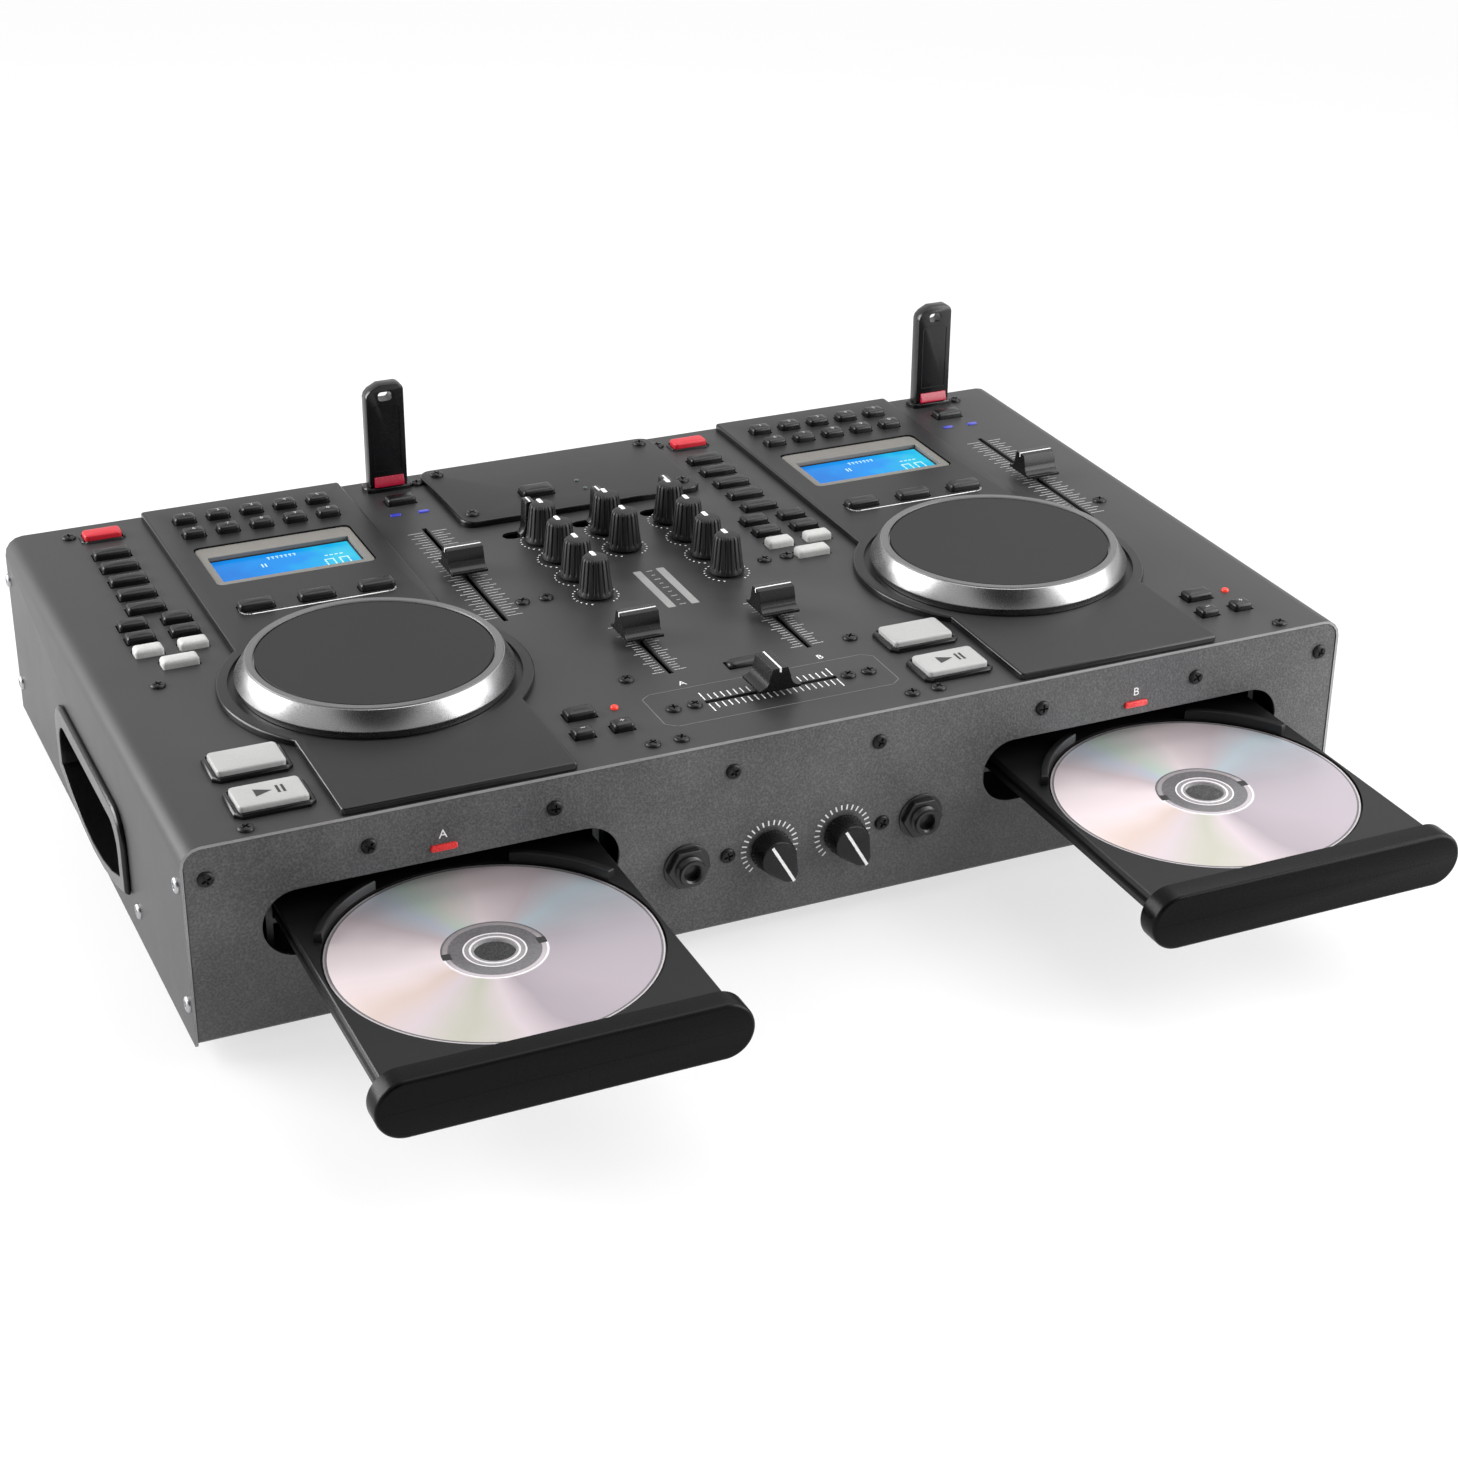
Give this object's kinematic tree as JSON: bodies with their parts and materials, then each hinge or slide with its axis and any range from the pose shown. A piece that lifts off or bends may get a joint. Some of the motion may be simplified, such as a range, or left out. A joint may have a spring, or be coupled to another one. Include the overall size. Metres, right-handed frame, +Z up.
{
  "type": "disc player",
  "caption": "Two-deck disc player with a mixer between the decks, jog wheels on top, front loading trays shown open with their discs, and stick memories in the top sockets.",
  "frame": {"origin": "bottom centre of the bounding box of the whole object at rest, trays out, at the underside of the feet", "axes": "+X along the long side of the case to the right as seen from the front, +Y from the trays towards the rear panel, +Z up"},
  "size_m": [0.493, 0.433, 0.1389],
  "materials": {
    "case_paint": "fine textured charcoal powder coat",
    "plate_paint": "satin near-black",
    "black_plastic": "satin black",
    "black_rubber": "satin black",
    "grey_keys": "light grey",
    "red_key": "red, satin",
    "wheel_metal": "satin metallic",
    "wheel_pad": "matte dark grey",
    "display": "lit blue display in a grey frame",
    "disc_foil": "silver mirror under clear plastic",
    "steel": "zinc-plated",
    "board": "green board lacquer"
  },
  "bodies": {
    "case": {"base_chassis": "case_paint", "top_cover": "case_paint", "deck_plate_a": "plate_paint", "deck_plate_b": "plate_paint", "mixer_plate": "plate_paint", "display_a": "display", "display_b": "display", "cd_drive_a": "steel", "cd_drive_b": "steel", "mic_jack": "black_plastic", "headphone_jack": "black_plastic", "side_handle_left": "black_plastic", "side_handle_right": "black_plastic", "main_board": "board"},
    "tray_a": {"tray_a": "black_plastic"},
    "disc_a": {"disc_a": "disc_foil"},
    "jog_a": {"jog_wheel_a": "wheel_metal", "jog_pad_a": "wheel_pad"},
    "pitch_fader_a": {"pitch_fader_a": "black_plastic"},
    "channel_fader_a": {"channel_fader_a": "black_plastic"},
    "usb_stick_a": {"usb_stick_a": "black_plastic"},
    "cue_key_a": {"cue_key_a": "grey_keys"},
    "play_key_a": {"play_key_a": "grey_keys"},
    "eject_key_a": {"eject_key_a": "red_key"},
    "deck_keys_a": {"deck_keys_a": "black_rubber"},
    "function_keys_a": {"function_keys_a": "black_rubber"},
    "pitch_keys_a": {"pitch_keys_a": "black_rubber"},
    "source_key_a": {"source_key_a": "black_rubber"},
    "tray_b": {"tray_b": "black_plastic"},
    "disc_b": {"disc_b": "disc_foil"},
    "jog_b": {"jog_wheel_b": "wheel_metal", "jog_pad_b": "wheel_pad"},
    "pitch_fader_b": {"pitch_fader_b": "black_plastic"},
    "channel_fader_b": {"channel_fader_b": "black_plastic"},
    "usb_stick_b": {"usb_stick_b": "black_plastic"},
    "cue_key_b": {"cue_key_b": "grey_keys"},
    "play_key_b": {"play_key_b": "grey_keys"},
    "eject_key_b": {"eject_key_b": "red_key"},
    "deck_keys_b": {"deck_keys_b": "black_rubber"},
    "function_keys_b": {"function_keys_b": "black_rubber"},
    "pitch_keys_b": {"pitch_keys_b": "black_rubber"},
    "source_key_b": {"source_key_b": "black_rubber"},
    "mixer_key": {"mixer_key": "black_rubber"},
    "fader_key": {"fader_key": "black_rubber"},
    "crossfader": {"crossfader": "black_plastic"},
    "gain_knob_a": {"gain_knob_a": "black_plastic"},
    "treble_knob_a": {"treble_knob_a": "black_plastic"},
    "middle_knob_a": {"middle_knob_a": "black_plastic"},
    "bass_knob_a": {"bass_knob_a": "black_plastic"},
    "master_knob": {"master_knob": "black_plastic"},
    "monitor_knob": {"monitor_knob": "black_plastic"},
    "gain_knob_b": {"gain_knob_b": "black_plastic"},
    "treble_knob_b": {"treble_knob_b": "black_plastic"},
    "middle_knob_b": {"middle_knob_b": "black_plastic"},
    "bass_knob_b": {"bass_knob_b": "black_plastic"},
    "mic_level_knob": {"mic_level_knob": "black_plastic"},
    "cue_level_knob": {"cue_level_knob": "black_plastic"},
    "source_switch_a": {"source_switch_a": "black_plastic"},
    "monitor_switch": {"monitor_switch": "black_plastic"},
    "source_switch_b": {"source_switch_b": "black_plastic"}
  },
  "joints": [
    {"name": "tray_slide_a", "type": "slide", "parent": "case", "child": "tray_a", "axis": [0, 1, 0], "range_m": [0, 0.126]},
    {"name": "disc_spin_a", "type": "hinge", "parent": "tray_a", "child": "disc_a", "pos_m": [-0.147, -0.1435, 0.0531], "axis": [0, 0, 1], "continuous": true},
    {"name": "jog_turn_a", "type": "hinge", "parent": "case", "child": "jog_a", "pos_m": [-0.1388, 0.0114, 0.0884], "axis": [0, 0, 1], "continuous": true},
    {"name": "pitch_slide_a", "type": "slide", "parent": "case", "child": "pitch_fader_a", "axis": [0, 1, 0], "range_m": [-0.049, 0.049]},
    {"name": "channel_slide_a", "type": "slide", "parent": "case", "child": "channel_fader_a", "axis": [0, 1, 0], "range_m": [-0.0318, 0.0132]},
    {"name": "usb_pull_a", "type": "slide", "parent": "case", "child": "usb_stick_a", "axis": [0, 0, 1], "range_m": [0, 0.0118]},
    {"name": "cue_key_a_press", "type": "slide", "parent": "case", "child": "cue_key_a", "axis": [0, 0, -1], "range_m": [0, 0.001], "stiffness_N_per_m": 1500},
    {"name": "play_key_a_press", "type": "slide", "parent": "case", "child": "play_key_a", "axis": [0, 0, -1], "range_m": [0, 0.001], "stiffness_N_per_m": 1500},
    {"name": "eject_key_a_press", "type": "slide", "parent": "case", "child": "eject_key_a", "axis": [0, 0, -1], "range_m": [0, 0.001], "stiffness_N_per_m": 1200},
    {"name": "deck_keys_a_press", "type": "slide", "parent": "case", "child": "deck_keys_a", "axis": [0, 0, -1], "range_m": [0, 0.001], "stiffness_N_per_m": 3000},
    {"name": "function_keys_a_press", "type": "slide", "parent": "case", "child": "function_keys_a", "axis": [0, 0, -1], "range_m": [0, 0.001], "stiffness_N_per_m": 3000},
    {"name": "pitch_keys_a_press", "type": "slide", "parent": "case", "child": "pitch_keys_a", "axis": [0, 0, -1], "range_m": [0, 0.001], "stiffness_N_per_m": 1500},
    {"name": "source_key_a_press", "type": "slide", "parent": "case", "child": "source_key_a", "axis": [0, 0, -1], "range_m": [0, 0.001], "stiffness_N_per_m": 1200},
    {"name": "tray_slide_b", "type": "slide", "parent": "case", "child": "tray_b", "axis": [0, 1, 0], "range_m": [0, 0.126]},
    {"name": "disc_spin_b", "type": "hinge", "parent": "tray_b", "child": "disc_b", "pos_m": [0.147, -0.1435, 0.0531], "axis": [0, 0, 1], "continuous": true},
    {"name": "jog_turn_b", "type": "hinge", "parent": "case", "child": "jog_b", "pos_m": [0.1388, 0.0114, 0.0884], "axis": [0, 0, 1], "continuous": true},
    {"name": "pitch_slide_b", "type": "slide", "parent": "case", "child": "pitch_fader_b", "axis": [0, 1, 0], "range_m": [-0.049, 0.049]},
    {"name": "channel_slide_b", "type": "slide", "parent": "case", "child": "channel_fader_b", "axis": [0, 1, 0], "range_m": [-0.0318, 0.0132]},
    {"name": "usb_pull_b", "type": "slide", "parent": "case", "child": "usb_stick_b", "axis": [0, 0, 1], "range_m": [0, 0.0118]},
    {"name": "cue_key_b_press", "type": "slide", "parent": "case", "child": "cue_key_b", "axis": [0, 0, -1], "range_m": [0, 0.001], "stiffness_N_per_m": 1500},
    {"name": "play_key_b_press", "type": "slide", "parent": "case", "child": "play_key_b", "axis": [0, 0, -1], "range_m": [0, 0.001], "stiffness_N_per_m": 1500},
    {"name": "eject_key_b_press", "type": "slide", "parent": "case", "child": "eject_key_b", "axis": [0, 0, -1], "range_m": [0, 0.001], "stiffness_N_per_m": 1200},
    {"name": "deck_keys_b_press", "type": "slide", "parent": "case", "child": "deck_keys_b", "axis": [0, 0, -1], "range_m": [0, 0.001], "stiffness_N_per_m": 3000},
    {"name": "function_keys_b_press", "type": "slide", "parent": "case", "child": "function_keys_b", "axis": [0, 0, -1], "range_m": [0, 0.001], "stiffness_N_per_m": 3000},
    {"name": "pitch_keys_b_press", "type": "slide", "parent": "case", "child": "pitch_keys_b", "axis": [0, 0, -1], "range_m": [0, 0.001], "stiffness_N_per_m": 1500},
    {"name": "source_key_b_press", "type": "slide", "parent": "case", "child": "source_key_b", "axis": [0, 0, -1], "range_m": [0, 0.001], "stiffness_N_per_m": 1200},
    {"name": "mixer_key_press", "type": "slide", "parent": "case", "child": "mixer_key", "axis": [0, 0, -1], "range_m": [0, 0.001], "stiffness_N_per_m": 1200},
    {"name": "fader_key_press", "type": "slide", "parent": "case", "child": "fader_key", "axis": [0, 0, -1], "range_m": [0, 0.001], "stiffness_N_per_m": 1200},
    {"name": "crossfader_slide", "type": "slide", "parent": "case", "child": "crossfader", "axis": [1, 0, 0], "range_m": [-0.025, 0.025]},
    {"name": "gain_knob_a_turn", "type": "hinge", "parent": "case", "child": "gain_knob_a", "pos_m": [-0.03, 0.114, 0.0884], "axis": [0, 0, 1], "range_deg": [-150, 150]},
    {"name": "treble_knob_a_turn", "type": "hinge", "parent": "case", "child": "treble_knob_a", "pos_m": [-0.03, 0.0934, 0.0884], "axis": [0, 0, 1], "range_deg": [-150, 150]},
    {"name": "middle_knob_a_turn", "type": "hinge", "parent": "case", "child": "middle_knob_a", "pos_m": [-0.03, 0.0728, 0.0884], "axis": [0, 0, 1], "range_deg": [-150, 150]},
    {"name": "bass_knob_a_turn", "type": "hinge", "parent": "case", "child": "bass_knob_a", "pos_m": [-0.03, 0.0522, 0.0884], "axis": [0, 0, 1], "range_deg": [-150, 150]},
    {"name": "master_knob_turn", "type": "hinge", "parent": "case", "child": "master_knob", "pos_m": [0, 0.114, 0.0884], "axis": [0, 0, 1], "range_deg": [-150, 150]},
    {"name": "monitor_knob_turn", "type": "hinge", "parent": "case", "child": "monitor_knob", "pos_m": [0, 0.0934, 0.0884], "axis": [0, 0, 1], "range_deg": [-150, 150]},
    {"name": "gain_knob_b_turn", "type": "hinge", "parent": "case", "child": "gain_knob_b", "pos_m": [0.03, 0.114, 0.0884], "axis": [0, 0, 1], "range_deg": [-150, 150]},
    {"name": "treble_knob_b_turn", "type": "hinge", "parent": "case", "child": "treble_knob_b", "pos_m": [0.03, 0.0934, 0.0884], "axis": [0, 0, 1], "range_deg": [-150, 150]},
    {"name": "middle_knob_b_turn", "type": "hinge", "parent": "case", "child": "middle_knob_b", "pos_m": [0.03, 0.0728, 0.0884], "axis": [0, 0, 1], "range_deg": [-150, 150]},
    {"name": "bass_knob_b_turn", "type": "hinge", "parent": "case", "child": "bass_knob_b", "pos_m": [0.03, 0.0522, 0.0884], "axis": [0, 0, 1], "range_deg": [-150, 150]},
    {"name": "mic_level_knob_turn", "type": "hinge", "parent": "case", "child": "mic_level_knob", "pos_m": [-0.0157, -0.091, 0.0378], "axis": [0, 1, 0], "range_deg": [-300, 0]},
    {"name": "cue_level_knob_turn", "type": "hinge", "parent": "case", "child": "cue_level_knob", "pos_m": [0.0157, -0.091, 0.0378], "axis": [0, 1, 0], "range_deg": [-300, 0]},
    {"name": "source_switch_a_slide", "type": "slide", "parent": "case", "child": "source_switch_a", "axis": [1, 0, 0], "range_m": [-0.0065, 0.0065]},
    {"name": "monitor_switch_slide", "type": "slide", "parent": "case", "child": "monitor_switch", "axis": [1, 0, 0], "range_m": [-0.0065, 0.0065]},
    {"name": "source_switch_b_slide", "type": "slide", "parent": "case", "child": "source_switch_b", "axis": [1, 0, 0], "range_m": [-0.0065, 0.0065]}
  ]
}
